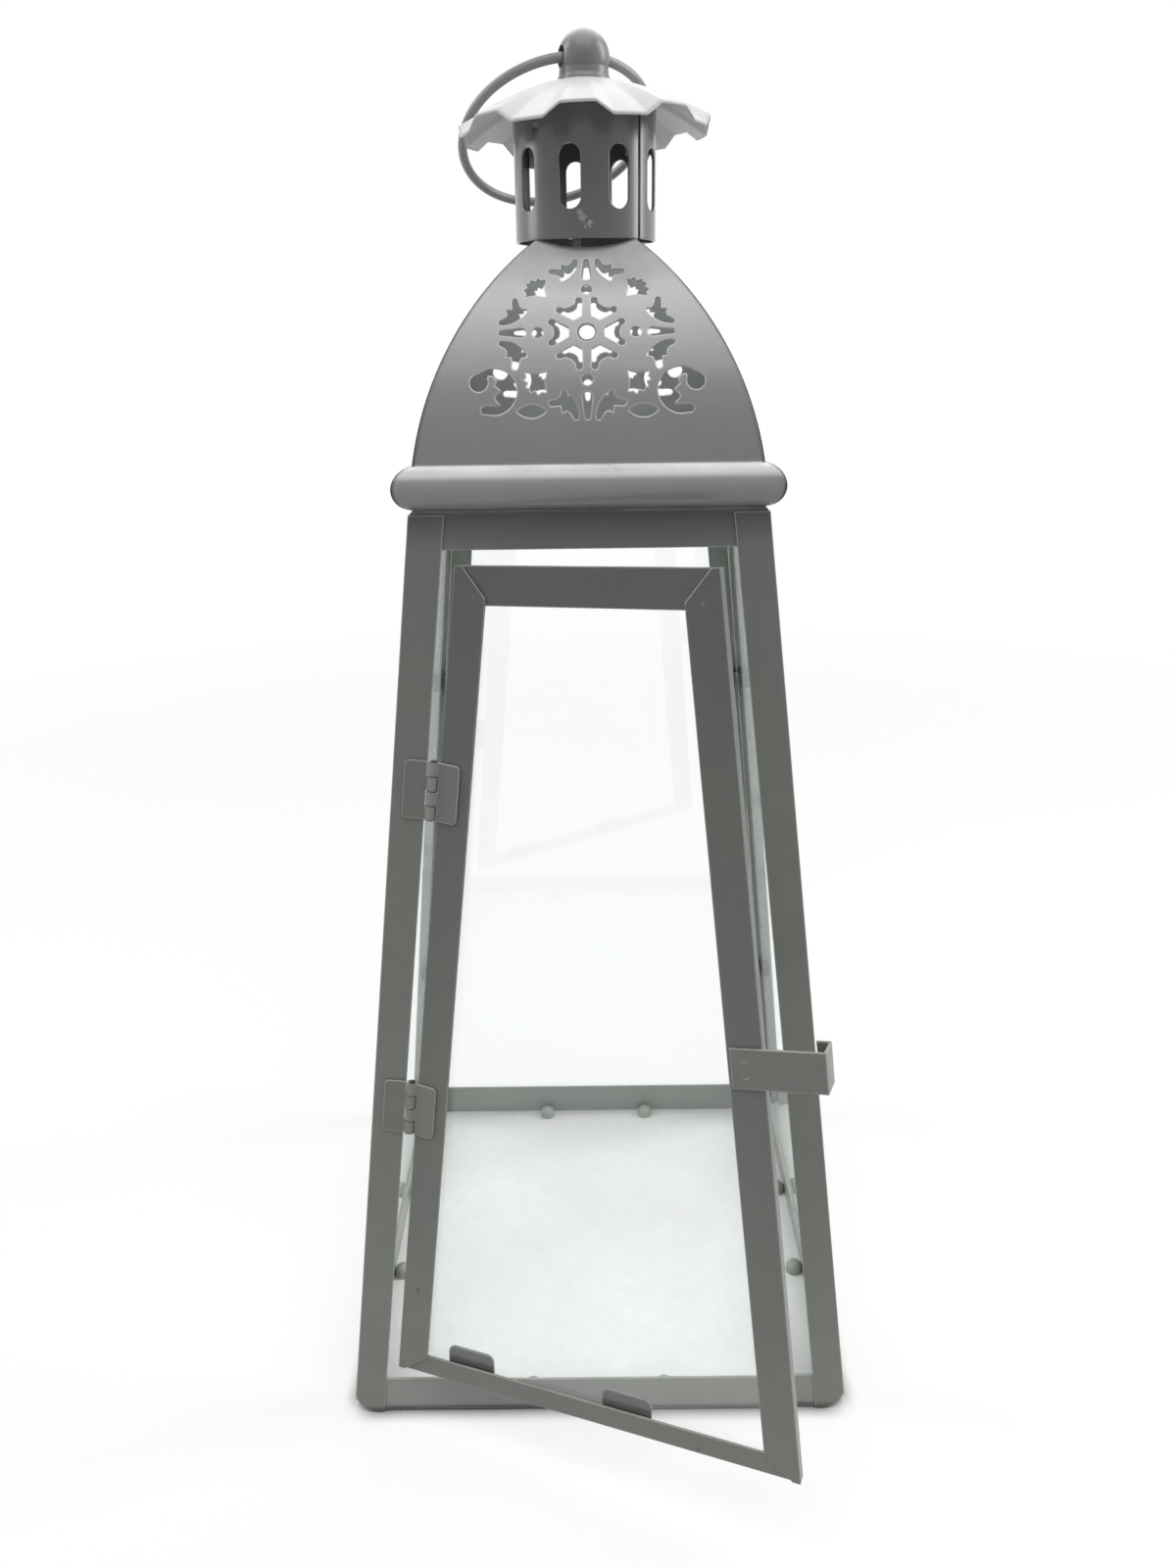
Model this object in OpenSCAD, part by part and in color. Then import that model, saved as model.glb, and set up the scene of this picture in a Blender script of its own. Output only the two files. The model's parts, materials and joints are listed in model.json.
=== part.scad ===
// Tapered sheet-metal lantern with a hinged glazed door, a pierced dome roof, a slotted
// chimney, a fluted canopy and a ring handle. Millimetres, +Z up, door towards -Y.
// The origin is the centre of the base, at the height of the surface it stands on.
// Each wall leans inwards. A wall's parts are drawn flat in the plane of its outside:
// x runs across the wall, y up the slope and z straight out of it.

/* [Body] */
// Outside width of the square base
base_w = 174; // [160:1:190]
// Outside width across the tops of the corner posts
top_w = 104.5; // [96:0.5:116]
// Height of the corner posts
body_h = 308; // [280:1:330]
// Thickness of the painted sheet
sheet_t = 0.7; // [0.6:0.05:0.8]
// Width of each leg of a corner post
post_w = 10.5; // [9:0.5:12]
// Radius on the lowest outer corner of a corner post
foot_r = 7; // [3:0.5:8]
// Height of a base rail up the slope
base_rail_h = 13; // [11:0.5:16]
// Height of a top rail up the slope
top_rail_h = 10; // [8:0.5:13]
// How far the top rails stand above the posts and carry the roof
roof_lift = 1.2; // [0.8:0.1:2]
// Width of the flange that every rail turns inwards
rail_flange_w = 10; // [9:0.5:13]
// Thickness of the floor plate
floor_t = 0.8; // [0.6:0.1:1.5]
// Radius of the head of a floor rivet
rivet_r = 3.3; // [2.4:0.1:3.4]
// Height of the head of a floor rivet
rivet_h = 4.8; // [4:0.1:6]
// Distance between the two floor rivets of one side
rivet_pitch = 47; // [35:1:60]
// Distance from the outside of the base to a floor rivet
rivet_inset = 8; // [7.9:0.1:8.6]

/* [Glass] */
// Thickness of every pane
glass_t = 2; // [1.6:0.1:2.4]
// How far a pane reaches behind the posts and rails
glass_lap = 4; // [3:0.5:5]
// Length of a bent glass clip
clip_len = 8; // [5:0.5:12]
// Height up the slope of the strip that stands behind the foot of a pane
strip_h = 17; // [14:0.5:20]

/* [Door] */
// Angle at which the door stands open
door_open = 21.8; // [0:0.1:60]
// Gap between the hinge post and the door
hinge_gap = 4.1; // [4.1:0.05:4.6]
// Gap between the latch post and the door
latch_gap = 3; // [1.5:0.1:4]
// Gap between the base rail and the door
door_lift = 6.6; // [3:0.1:9]
// Gap between the top rail and the door
door_drop = 4.2; // [2:0.1:7]
// Width of a door stile
stile_w = 10.8; // [9:0.1:12]
// Height of the door's top rail
door_top_h = 11.5; // [9:0.5:14]
// Height of the door's bottom rail
door_bottom_h = 7; // [6:0.5:9]
// Depth of the flange round the outside of the door frame
door_depth = 3.8; // [3.7:0.1:4.5]
// How far the door stands proud of the posts
door_proud = 0.35; // [0.35:0.05:0.6]
// Width of a clip that holds the door's pane
door_clip_w = 17; // [12:0.5:22]
// How far the lower door clips stand above the bottom rail
door_clip_show = 5; // [3:0.5:7]

/* [Hinges and latch] */
// Distance up the slope to the middle of the lower hinge
hinge_low_y = 120.5; // [90:0.5:140]
// Distance up the slope to the middle of the upper hinge
hinge_high_y = 228; // [190:0.5:250]
// Height of a hinge
hinge_h = 18.5; // [14:0.5:24]
// Width of a hinge leaf from the pin to its outer edge
leaf_w = 9; // [6:0.5:10]
// Outside radius of a hinge knuckle
knuckle_r = 1.7; // [1.5:0.02:1.72]
// Radius of a hinge pin
pin_r = 0.9; // [0.7:0.05:1]
// Running clearance round a hinge pin
pin_clearance = 0.05; // [0.03:0.01:0.08]
// Gap between two knuckles
knuckle_gap = 0.3; // [0.15:0.05:0.5]
// Distance up the slope to the middle of the latch
latch_y = 154.5; // [145:0.5:180]
// Height of the latch strap
latch_h = 12.5; // [9:0.5:16]
// How far the strap stands clear of the side of the latch post
latch_reach = 4.3; // [2:0.1:6]
// How deep the strap hooks round the latch post
latch_depth = 8; // [5:0.5:9]

/* [Roof] */
// Radius of the half-round bead round the eaves
bead_r = 6.15; // [4.5:0.05:7]
// How far the bead overhangs the posts
bead_overhang = 3.9; // [3:0.1:6]
// How far the foot of the dome lies outside the middle of the bead
dome_step = 0.45; // [0.2:0.05:1.2]
// Height of the dome above the bead
dome_h = 60.6; // [54:0.2:68]
// Radius of the curve of a roof panel
dome_r = 96.8; // [75:0.2:140]
// How far the middle of a panel's top edge dips between its corners
dome_dip = 2.3; // [1:0.1:4]
// Seam between two roof panels
roof_seam = 0.5; // [0.3:0.1:1]
// Width of the flange under the bead
roof_flange_w = 9; // [6:0.5:11]

/* [Filigree] */
// Height of the rosette's middle above the bead
rosette_z = 35.2; // [33:0.2:37]
// Distance from the middle of the rosette to the tip of a spear
ornament_r = 25.15; // [24:0.05:26]
// Radius of the middle hole
eye_r = 2.8; // [2:0.1:3.5]
// Number of petals round the middle hole
petal_count = 6; // [5:1:6]
// Distance from the middle to the four round dots
dot_ring_r = 14; // [13:0.1:14.5]
// Radius of a round dot
dot_r = 1.65; // [1:0.05:1.9]

/* [Chimney] */
// Outside radius of the chimney
chimney_r = 21.2; // [20.4:0.1:21.6]
// Height of the chimney
chimney_h = 36.7; // [34:0.1:42]
// Number of upright slots
slot_count = 9; // [6:1:9]
// Width of a slot
slot_w = 6.3; // [4:0.1:7]
// Length of a slot
slot_len = 16.8; // [12:0.2:20]
// Height of the middle of a slot above the foot of the chimney
slot_z = 16.1; // [14:0.1:18]
// Turn of the first slot from the front
slot_turn = -12; // [-18:1:18]
// Width of the open seam
seam_w = 1; // [0.5:0.1:2]
// Radius of the small hole under the canopy
vent_r = 1.2; // [0.8:0.1:1.6]

/* [Canopy] */
// Radius of the canopy
canopy_r = 37.2; // [35.6:0.2:40]
// Number of flutes
flute_count = 9; // [7:1:11]
// How far the rim lies below the middle
canopy_fall = 12.3; // [11.5:0.1:14]
// Half the height of a flute at the rim
flute_h = 1.6; // [1:0.1:2]
// Turn of the first ridge from the front
flute_turn = -2.6; // [-6:0.2:6]
// How much wider the front flutes are than the back ones, in degrees of turn
flute_spread = 7.8; // [0:0.2:10]
// How much lower the brim lies towards its lowest side
brim_droop = 1.05; // [0.8:0.05:2]
// Turn of the lowest side of the brim from the X axis
brim_turn = 154; // [120:1:170]

/* [Finial and handle] */
// Radius of the ball
ball_r = 7.6; // [7:0.1:8.4]
// Height of the ball's middle above the canopy
ball_z = 5.9; // [5.6:0.1:6.6]
// Radius of the hole through the ball
eyelet_r = 2.8; // [2.6:0.1:3]
// Height of that hole above the canopy
eyelet_z = 6.1; // [5.9:0.1:6.6]
// Turn of that hole from the X axis
eyelet_turn = 21.9; // [16:0.1:26]
// Radius of the ring handle to the middle of its wire
ring_r = 29.8; // [28:0.2:31]
// Radius of the handle's wire
wire_r = 1.4; // [1.1:0.1:1.5]
// Angle below the level at which the handle lies on the canopy
ring_fall = 34.4; // [25:0.2:34.8]

/* [Hidden] */

$fn = 64;
wall_paint = "#8d8d8a";
pale_paint = "#b9b9b7";
dark_metal = "#6f706e";
pane_tint = [0.75, 0.88, 0.83, 0.35];

fit_gap = 0.1;                                  // between two sheets that only meet
over = 1;                                       // how far a cutter runs past what it cuts

// The sloping wall
wall_lean = atan((base_w - top_w) / 2 / body_h);
wall_taper = sin(wall_lean);
wall_len = body_h / cos(wall_lean);
edge_lean = atan(wall_taper);                   // slope of a post's edge within its wall
behind_posts = -sheet_t;                        // outside of the rails
behind_rails = -2 * sheet_t;                    // inside of the rails
pane_front = behind_rails - fit_gap;
pane_back = pane_front - glass_t;
roof_z = body_h + roof_lift;                    // seat of the roof on the top rails
floor_z = sheet_t;                              // underside of the floor plate
floor_top = floor_z + floor_t;
foot_cut = 0.8 * foot_r;                        // chamfer on what lies behind a rounded foot
strip_back = pane_back - fit_gap - sheet_t;     // inside of the strips behind the panes

// The door, drawn shut in the plane of the front wall
door_bottom = base_rail_h + door_lift;
door_top = wall_len - top_rail_h - door_drop;
door_left_0 = base_w / 2 - post_w - hinge_gap;  // half-widths at the foot of the slope
door_right_0 = base_w / 2 - post_w - latch_gap;
mitre_flat = 2.4;                               // square end of a stile beside its mitre
door_pane_inset = 5;
door_clip_low_x = [-43, 13.5];                  // middles of the two lower clips
door_clip_top_x = [-17, 17];
top_clip_h = 8;
dimple_r = 0.6;

// The hinge axis
hinge_x_0 = base_w / 2 - post_w - hinge_gap / 2;
hinge_z = 0.6;
knuckle_count = 4;
leaf_corner_r = 1.5;

// The roof
bead_x = top_w / 2 + bead_overhang - bead_r;    // middle of the bead's half circle
bead_z = roof_z + bead_r;
dome_z = roof_z + 2 * bead_r;
dome_foot = bead_x + dome_step;                 // half the width of the dome at its foot
chimney_z = dome_z + dome_h;
tip_pad = 0.8;                                  // flat corner of a panel under the chimney
ornament_unit = ornament_r / 25.15;            // the ornament is drawn 25.15 high
dome_head = (chimney_r - sheet_t / 3 + roof_seam / 2) / sqrt(2);
dome_chord = [dome_head - dome_foot, dome_h];
dome_reach = sqrt(dome_r * dome_r - dome_chord * dome_chord / 4);
dome_mid = [(dome_foot + dome_head) / 2, dome_z + dome_h / 2];
dome_centre = dome_mid - dome_reach * [dome_h, -dome_chord.x] / norm(dome_chord);
rosette_angle = asin((dome_z + rosette_z - dome_centre.y) / dome_r);
rosette_x = dome_centre.x + dome_r * cos(rosette_angle);

// The canopy, finial and handle
canopy_flat_r = 8;                              // flat seat for the finial
flute_start_r = 12;
flute_steps = 12;                               // points across one flute
canopy_rings = 9;
canopy_curve = 1.3;                             // 1 is a cone, more is a rounder crown
stem_r = 2;
stem_hole_r = 2.2;
washer_r = 4.5;
washer_t = 0.8;
nut_r = 4.04;
nut_h = 3.2;
bracket_w = 8;
bracket_flat = 6.5;
bracket_leg = 12;
canopy_z = chimney_z + chimney_h + fit_gap + sheet_t
    + canopy_drop(chimney_r) + flute_height(chimney_r) + brim_droop * brim_share(chimney_r);
eyelet_height = canopy_z + eyelet_z;
ring_sag = ball_r * ball_r / ring_r / 4;        // keeps the curved wire midway in its hole

// Half the width of a wall at a distance up its slope
function wall_half(y) = base_w / 2 - wall_taper * y;
// How far radius r lies along the brim, from its flat middle to its rim
function brim_share(r) = max(r - canopy_flat_r, 0) / (canopy_r - canopy_flat_r);
// Fall of the canopy's mean surface, and the height of its flutes, at radius r
function canopy_drop(r) = canopy_fall * pow(brim_share(r), canopy_curve);
function flute_height(r) = flute_h * max(r - flute_start_r, 0) / (canopy_r - flute_start_r);
// A flute's trapezoid wave, 1 on the ridge and -1 in the valley, for u from 0 to 1
function flute_wave(u) = let (d = abs(u - round(u)) * 6) 1 - 2 * min(max(d - 1, 0), 1);
function arc(c, r, from, to, steps) =
    [for (i = [0 : steps]) let (a = from + (to - from) * i / steps) c + r * [cos(a), sin(a)]];
function mirror_x(points) = [for (p = points) [-p.x, p.y]];

// Places what is drawn in the plane of a wall: 0 front, 1 right, 2 back, 3 left
module on_wall(side) {
    rotate([0, 0, 90 * side]) translate([0, -base_w / 2, 0]) rotate([90 - wall_lean, 0, 0]) children();
}

// A flat sheet whose back and front lie at two distances out of the wall
module layer(back, front) {
    translate([0, 0, back]) linear_extrude(front - back) children();
}

// ---- Body ----

module post_leg_outline() {
    low = sheet_t * tan(wall_lean);
    corner = [wall_half(low + foot_r) - foot_r, low + foot_r];
    polygon(concat(
        [[wall_half(low) - post_w, low]],
        arc(corner, foot_r, -90, 0, 5),
        [[wall_half(wall_len), wall_len], [wall_half(wall_len) - post_w, wall_len]]));
}

// Angle section along the right edge of one wall and the left edge of the next
module corner_post(side) {
    color(wall_paint) {
        on_wall(side) layer(behind_posts, 0) post_leg_outline();
        on_wall(side + 1) layer(behind_posts, 0) mirror([1, 0]) post_leg_outline();
    }
}

// Upright strip of a rail, its lower corners cut off by a chamfer
module rail_outline(low, high, cut = 0) {
    inset = 2 * sheet_t + fit_gap;
    right = [[wall_half(low) - inset - cut, low], [wall_half(low + cut) - inset, low + cut],
             [wall_half(high) - inset, high]];
    polygon(concat(cut > 0 ? right : [right[1], right[2]],
                   [for (i = [2 : -1 : cut > 0 ? 0 : 1]) [-right[i].x, right[i].y]]));
}

// Flat flange of a rail, with mitred ends; half is the distance to its outer edge
module rail_flange(half, cut = 0) {
    inner = half - rail_flange_w;
    right = [[half - cut - fit_gap, -half], [half - cut / 2 - fit_gap, -half + cut / 2],
             [inner - fit_gap, -inner]];
    polygon(concat(cut > 0 ? right : [right[1], right[2]],
                   [for (i = [2 : -1 : cut > 0 ? 0 : 1]) [-right[i].x, right[i].y]]));
}

module rivet_places() {
    for (x = [-1, 1]) translate([x * rivet_pitch / 2, -base_w / 2 + rivet_inset, 0]) children();
}

module base_rail(side) {
    half = base_w / 2 - 1.5 * sheet_t / cos(wall_lean);
    color(wall_paint) {
        on_wall(side) layer(behind_rails, behind_posts)
            rail_outline(2 * sheet_t * tan(wall_lean), base_rail_h, foot_cut);
        rotate([0, 0, 90 * side]) difference() {
            linear_extrude(sheet_t) rail_flange(half, foot_cut);
            rivet_places() translate([0, 0, -over]) cylinder(h = sheet_t + 2 * over, r = rivet_r / 2);
        }
    }
}

module top_rail(side) {
    slope = (roof_z - sheet_t / 2) / cos(wall_lean) - sheet_t * wall_taper;
    half = base_w / 2 - (roof_z - sheet_t / 2) * tan(wall_lean) - 1.5 * sheet_t / cos(wall_lean);
    color(wall_paint) {
        on_wall(side) layer(behind_rails, behind_posts) rail_outline(wall_len - top_rail_h, slope);
        rotate([0, 0, 90 * side]) translate([0, 0, roof_z - sheet_t]) linear_extrude(sheet_t)
            rail_flange(half);
    }
}

module floor_plate() {
    half = base_w / 2 - 2 * sheet_t / cos(wall_lean) - floor_top * tan(wall_lean) - fit_gap;
    corner = half * sqrt(2) - foot_cut / sqrt(2);
    color(pale_paint) translate([0, 0, floor_z]) difference() {
        linear_extrude(floor_t) intersection() {
            square(2 * half, center = true);
            rotate(45) square(2 * corner, center = true);
        }
        for (side = [0 : 3]) rotate([0, 0, 90 * side]) rivet_places()
            translate([0, 0, -over]) cylinder(h = floor_t + 2 * over, r = rivet_r / 2);
    }
}

// Dome-headed rivets through the floor plate and the flanges of the base rails
module floor_rivets() {
    shank_r = rivet_r / 2 - 0.05;
    color(pale_paint) for (side = [0 : 3]) rotate([0, 0, 90 * side]) rivet_places() {
        cylinder(h = floor_top + 0.2, r = shank_r);
        translate([0, 0, floor_top]) rotate_extrude()
            polygon(concat([[0, 0], [rivet_r, 0]], arc([0, rivet_h - rivet_r], rivet_r, 0, 90, 10)));
    }
}

// ---- Glass ----

module pane_outline() {
    low = base_rail_h - glass_lap;
    high = wall_len - top_rail_h + glass_lap;
    inset = post_w - glass_lap;
    polygon([[-wall_half(low) + inset, low], [wall_half(low) - inset, low],
             [wall_half(high) - inset, high], [-wall_half(high) + inset, high]]);
}

module glass_pane(side) {
    color(pane_tint) on_wall(side) layer(pane_back, pane_front) pane_outline();
}

// Strip that stands on the floor plate behind the foot of a pane
module glass_strip(side) {
    low = (floor_top - strip_back * wall_taper) / cos(wall_lean);
    end = 5 - strip_back;
    color(wall_paint) on_wall(side) layer(strip_back, strip_back + sheet_t)
        polygon([[-wall_half(low) + end, low], [wall_half(low) - end, low],
                 [wall_half(strip_h) - end, strip_h], [-wall_half(strip_h) + end, strip_h]]);
}

// Section of a bent clip: foot on the post, riser beside the pane, lip over the pane
module clip_section() {
    riser = -(post_w - glass_lap) + 0.3;
    lip_z = pane_back - fit_gap;
    polygon([[riser - 2.7, lip_z], [riser, lip_z], [riser, behind_posts], [-sheet_t - 1, behind_posts],
             [-sheet_t - 1, behind_rails], [riser + sheet_t, behind_rails],
             [riser + sheet_t, lip_z - sheet_t], [riser - 2.7, lip_z - sheet_t]]);
}

module glass_clips() {
    color(dark_metal) for (side = [1 : 3], hand = [0, 1], share = [0.25, 0.75]) {
        y = base_rail_h + share * (wall_len - base_rail_h - top_rail_h);
        on_wall(side) mirror([hand, 0, 0]) translate([wall_half(y), y, 0]) rotate([0, 0, edge_lean])
            translate([0, clip_len / 2, 0]) rotate([90, 0, 0]) linear_extrude(clip_len) clip_section();
    }
}

// ---- Roof ----

// Section of a roof panel: flange, half-round bead and dome in one sheet
module roof_section() {
    translate([bead_x - roof_flange_w, roof_z]) square([roof_flange_w + 0.2, sheet_t]);
    intersection() {
        translate([bead_x, bead_z]) difference() {
            circle(bead_r, $fn = 96);
            circle(bead_r - sheet_t, $fn = 96);
        }
        translate([bead_x, roof_z]) square(2 * bead_r);
    }
    intersection() {
        translate(dome_centre) difference() {
            circle(dome_r, $fn = 360);
            circle(dome_r - sheet_t, $fn = 360);
        }
        translate([0, dome_z - sheet_t]) square([dome_foot + over, dome_h + sheet_t]);
    }
}

// One of the petals, pointing along +Y. The shapes of the ornament are drawn in ornament
// units; filigree() brings them to size.
module petal() {
    half = [[1.35, 5.1], [4.15, 9.7], [3.3, 10.9], [1.5, 9.6], [0, 9.3]];
    polygon(concat(half, [for (i = [3 : -1 : 0]) [-half[i].x, half[i].y]]));
    for (x = [-1, 1]) translate([x * 3.2, 10]) circle(1, $fn = 24);
}

module spear() {
    polygon([[-1.5, 18.8], [1.5, 18.8], [0.85, 24.3], [-0.85, 24.3]]);
    translate([0, 18.8]) circle(1.5, $fn = 24);
    translate([0, 24.3]) circle(0.85, $fn = 24);
}

// Lobed leaf on the right of a spear
module feather() {
    polygon([[2.4, 24.2], [2.5, 22.6], [3.3, 20.5], [4.9, 18.4], [6.3, 17.2], [7.3, 16.9], [7.6, 18.6],
             [8.6, 19.2], [10.2, 19.6], [10.2, 21.4], [8.6, 21.3], [7.4, 21.3], [7.2, 23.2], [6.1, 22.6],
             [5, 23], [4.1, 24.4]]);
    translate([3.25, 24.3]) circle(0.85, $fn = 24);
    translate([10.2, 20.5]) circle(0.9, $fn = 24);
}

// Five-pointed leaf on a diagonal, pointing along +Y
module star_leaf() {
    half = [[4.2, 0], [3.1, 0.7], [2.9, 2.1], [1.6, 1.6], [0.9, 3.1]];
    polygon(concat([[0, 2.4]], [for (i = [4 : -1 : 0]) half[i]], [[1.7, -1.8], [0, -4.4], [-1.7, -1.8]],
                   mirror_x(half)));
}

module pointed_oval() {
    half = [4.3, 1.9];
    r = (half.x * half.x + half.y * half.y) / 2 / half.y;
    intersection() {
        translate([0, half.y - r]) circle(r);
        translate([0, r - half.y]) circle(r);
    }
}

// C-scroll with a round bulb, open to the left, on the right of its middle
module scroll() {
    difference() {
        circle(6.6);
        polygon([[-9, 2.6], [-4.2, 2.6], [-2, 2.4], [-1.6, 4.3], [-0.4, 4.3], [1, 2.9], [0.3, 1.6],
                 [2.1, 0.1], [0.3, -1.5], [0.6, -2.6], [2, -3.8], [0.6, -4], [-2.4, -3.9], [-2.6, -8],
                 [-9, -8]]);
    }
    translate([-4.2, 2.4]) circle(2.6);
    translate([-2.5, -5.2]) circle(1.2, $fn = 24);
}

// The whole pierced ornament, round the rosette's middle
module filigree() {
    diagonal = 14.6;
    oval_place = [15.9, -22.6];
    scroll_place = [26.6, -17];
    circle(eye_r);
    for (turn = [0 : 90 : 270]) rotate(turn) translate([0, dot_ring_r]) circle(dot_r, $fn = 32);
    scale(ornament_unit) {
        for (i = [0 : petal_count - 1]) rotate(90 + 360 / petal_count * i) petal();
        for (turn = [0 : 90 : 270]) rotate(turn) {
            spear();
            feather();
            mirror([1, 0]) feather();
            translate([diagonal, diagonal]) rotate(-45) star_leaf();
        }
        for (hand = [0, 1]) mirror([hand, 0]) {
            translate(oval_place) pointed_oval();
            translate(scroll_place) mirror([1, 0]) scroll();
        }
    }
}

module roof_panel(side) {
    far = top_w;
    dip_x = dome_head - roof_seam / sqrt(2) - tip_pad;
    dip_r = (dip_x * dip_x + dome_dip * dome_dip) / 2 / dome_dip;
    color(pale_paint) rotate([0, 0, 90 * side]) difference() {
        intersection() {
            rotate([0, 0, -90]) rotate([90, 0, 0]) translate([0, 0, -far]) linear_extrude(2 * far)
                roof_section();
            translate([0, 0, roof_z - over]) linear_extrude(chimney_z - roof_z + 2 * over)
                polygon([[0, -roof_seam / sqrt(2)], [far, -far - roof_seam / sqrt(2)],
                         [-far, -far - roof_seam / sqrt(2)]]);
        }
        translate([0, 0, chimney_z - dome_dip + dip_r]) rotate([90, 0, 0])
            cylinder(h = dome_foot, r = dip_r, $fn = 128);
        translate([0, -rosette_x, dome_z + rosette_z]) rotate([90 - rosette_angle, 0, 0])
            translate([0, 0, -12]) linear_extrude(16) filigree();
    }
}

// ---- Chimney, canopy and finial ----

module slot_outline() {
    straight = slot_len - slot_w;
    square([slot_w, straight], center = true);
    for (y = [-1, 1]) translate([0, y * straight / 2]) circle(slot_w / 2, $fn = 48);
}

// Small hooks bent from the foot of the chimney into the mouth of the roof
module chimney_hook() {
    hook_w = 2.6;
    hook_x = 13.3;
    translate([-hook_w / 2, -chimney_r + sheet_t / 2, chimney_z])
        cube([hook_w, chimney_r - hook_x, sheet_t]);
    translate([-hook_w / 2, -hook_x - sheet_t / 2, chimney_z - 5]) cube([hook_w, sheet_t, 5 + sheet_t]);
}

module chimney() {
    pitch = 360 / slot_count;
    color(wall_paint) {
        translate([0, 0, chimney_z]) difference() {
            cylinder(h = chimney_h, r = chimney_r, $fn = 128);
            translate([0, 0, -over]) cylinder(h = chimney_h + 2 * over, r = chimney_r - sheet_t, $fn = 128);
            for (i = [0 : slot_count - 1]) rotate([0, 0, slot_turn + pitch * i])
                translate([0, 0, slot_z]) rotate([90, 0, 0]) linear_extrude(chimney_r + over) slot_outline();
            rotate([0, 0, slot_turn + 1.5 * pitch]) translate([-seam_w / 2, -chimney_r - over, -over])
                cube([seam_w, chimney_r + over, chimney_h + 2 * over]);
            rotate([0, 0, slot_turn - 0.75 * pitch]) translate([0, 0, slot_z + slot_len / 2 + 4.5])
                rotate([90, 0, 0]) cylinder(h = chimney_r + over, r = vent_r);
        }
        for (turn = [0, 120, 240]) rotate([0, 0, slot_turn + turn]) chimney_hook();
    }
}

// Bent strap that carries the canopy on the inside of the chimney
module canopy_bracket() {
    inner_r = chimney_r - sheet_t;
    leg_x = sqrt(inner_r * inner_r - bracket_w * bracket_w / 4) - 0.05;
    web_z = canopy_z - sheet_t;
    bend_z = chimney_z + chimney_h - 3;
    outer = [[leg_x, bend_z - bracket_leg], [leg_x, bend_z], [bracket_flat, web_z]];
    inner = [[bracket_flat, web_z - sheet_t], [leg_x - sheet_t, bend_z - sheet_t],
             [leg_x - sheet_t, bend_z - bracket_leg]];
    color(dark_metal) rotate([0, 0, slot_turn + 1.5 * 360 / slot_count + 90]) difference() {
        translate([0, bracket_w / 2, 0]) rotate([90, 0, 0]) linear_extrude(bracket_w)
            polygon(concat(outer, [for (i = [2 : -1 : 0]) [-outer[i].x, outer[i].y]],
                           [for (i = [2 : -1 : 0]) [-inner[i].x, inner[i].y]], inner));
        translate([0, 0, web_z - sheet_t - over]) cylinder(h = sheet_t + 2 * over, r = stem_hole_r);
    }
}

module canopy() {
    n = flute_count * flute_steps;
    radii = concat([stem_hole_r], [for (j = [1 : canopy_rings])
        canopy_flat_r + (canopy_r - canopy_flat_r) * (j - 1) / (canopy_rings - 1)]);
    surface = [for (r = radii, i = [0 : n - 1])
        let (t = 360 * i / n,
             a = flute_turn - 90 + t + flute_spread * sin(t),
             flute = flute_height(r) * flute_wave(i / flute_steps),
             droop = brim_droop * brim_share(r) * cos(a - brim_turn))
        [r * cos(a), r * sin(a), canopy_z - canopy_drop(r) + flute - droop]];
    below = [for (p = surface) p - [0, 0, sheet_t]];
    m = len(surface);
    top = [for (j = [0 : canopy_rings - 1], i = [0 : n - 1]) let (k = (i + 1) % n)
        [j * n + i, j * n + k, (j + 1) * n + k, (j + 1) * n + i]];
    bottom = [for (f = top) [f[3] + m, f[2] + m, f[1] + m, f[0] + m]];
    last = canopy_rings * n;
    rim = [for (i = [0 : n - 1]) let (k = (i + 1) % n) [last + i, last + k, last + k + m, last + i + m]];
    bore = [for (i = [0 : n - 1]) let (k = (i + 1) % n) [i + m, k + m, k, i]];
    color(pale_paint) polyhedron(concat(surface, below), concat(top, bottom, rim, bore), convexity = 6);
}

// Ball on a flared foot, with the handle's hole across it and a threaded stem below
module finial() {
    stem_h = 2 * sheet_t + washer_t + nut_h + 1.5;
    foot_angle = -20;
    outline = concat([[0, 0], [ball_r + 0.3, 0], [ball_r + 0.2, 0.5], [ball_r - 0.3, 1.6]],
                     arc([0, ball_z], ball_r, foot_angle, 90, 20));
    color(pale_paint) translate([0, 0, canopy_z]) {
        difference() {
            rotate_extrude($fn = 96) polygon(outline);
            translate([0, 0, eyelet_z]) rotate([0, 90, eyelet_turn])
                cylinder(h = 4 * ball_r, r = eyelet_r, center = true);
        }
        translate([0, 0, -stem_h]) cylinder(h = stem_h + 0.5, r = stem_r);
    }
}

module finial_washer() {
    color(dark_metal) translate([0, 0, canopy_z - 2 * sheet_t - washer_t]) difference() {
        cylinder(h = washer_t, r = washer_r);
        translate([0, 0, -over]) cylinder(h = washer_t + 2 * over, r = stem_hole_r);
    }
}

module finial_nut() {
    color(dark_metal) translate([0, 0, canopy_z - 2 * sheet_t - washer_t - nut_h]) difference() {
        cylinder(h = nut_h, r = nut_r, $fn = 6);
        translate([0, 0, -over]) cylinder(h = nut_h + 2 * over, r = stem_r + 0.05);
    }
}

module handle_ring() {
    color(wall_paint) translate([0, 0, eyelet_height]) rotate([-ring_fall, 0, eyelet_turn])
        translate([0, ring_r - ring_sag, 0])
        rotate_extrude($fn = 128) translate([ring_r, 0]) circle(wire_r, $fn = 32);
}

// ---- Hinges ----

// The hinge axis as a frame of its own: y up the pin, x towards the door, z outwards
module on_hinge() {
    on_wall(0) translate([-hinge_x_0, 0, hinge_z]) rotate([0, 0, -edge_lean]) children();
}

// Swings what is drawn shut in the front wall's plane to where the door stands open
module door_swing() {
    on_hinge() rotate([0, -door_open, 0]) rotate([0, 0, edge_lean])
        translate([hinge_x_0, 0, -hinge_z]) children();
}

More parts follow.
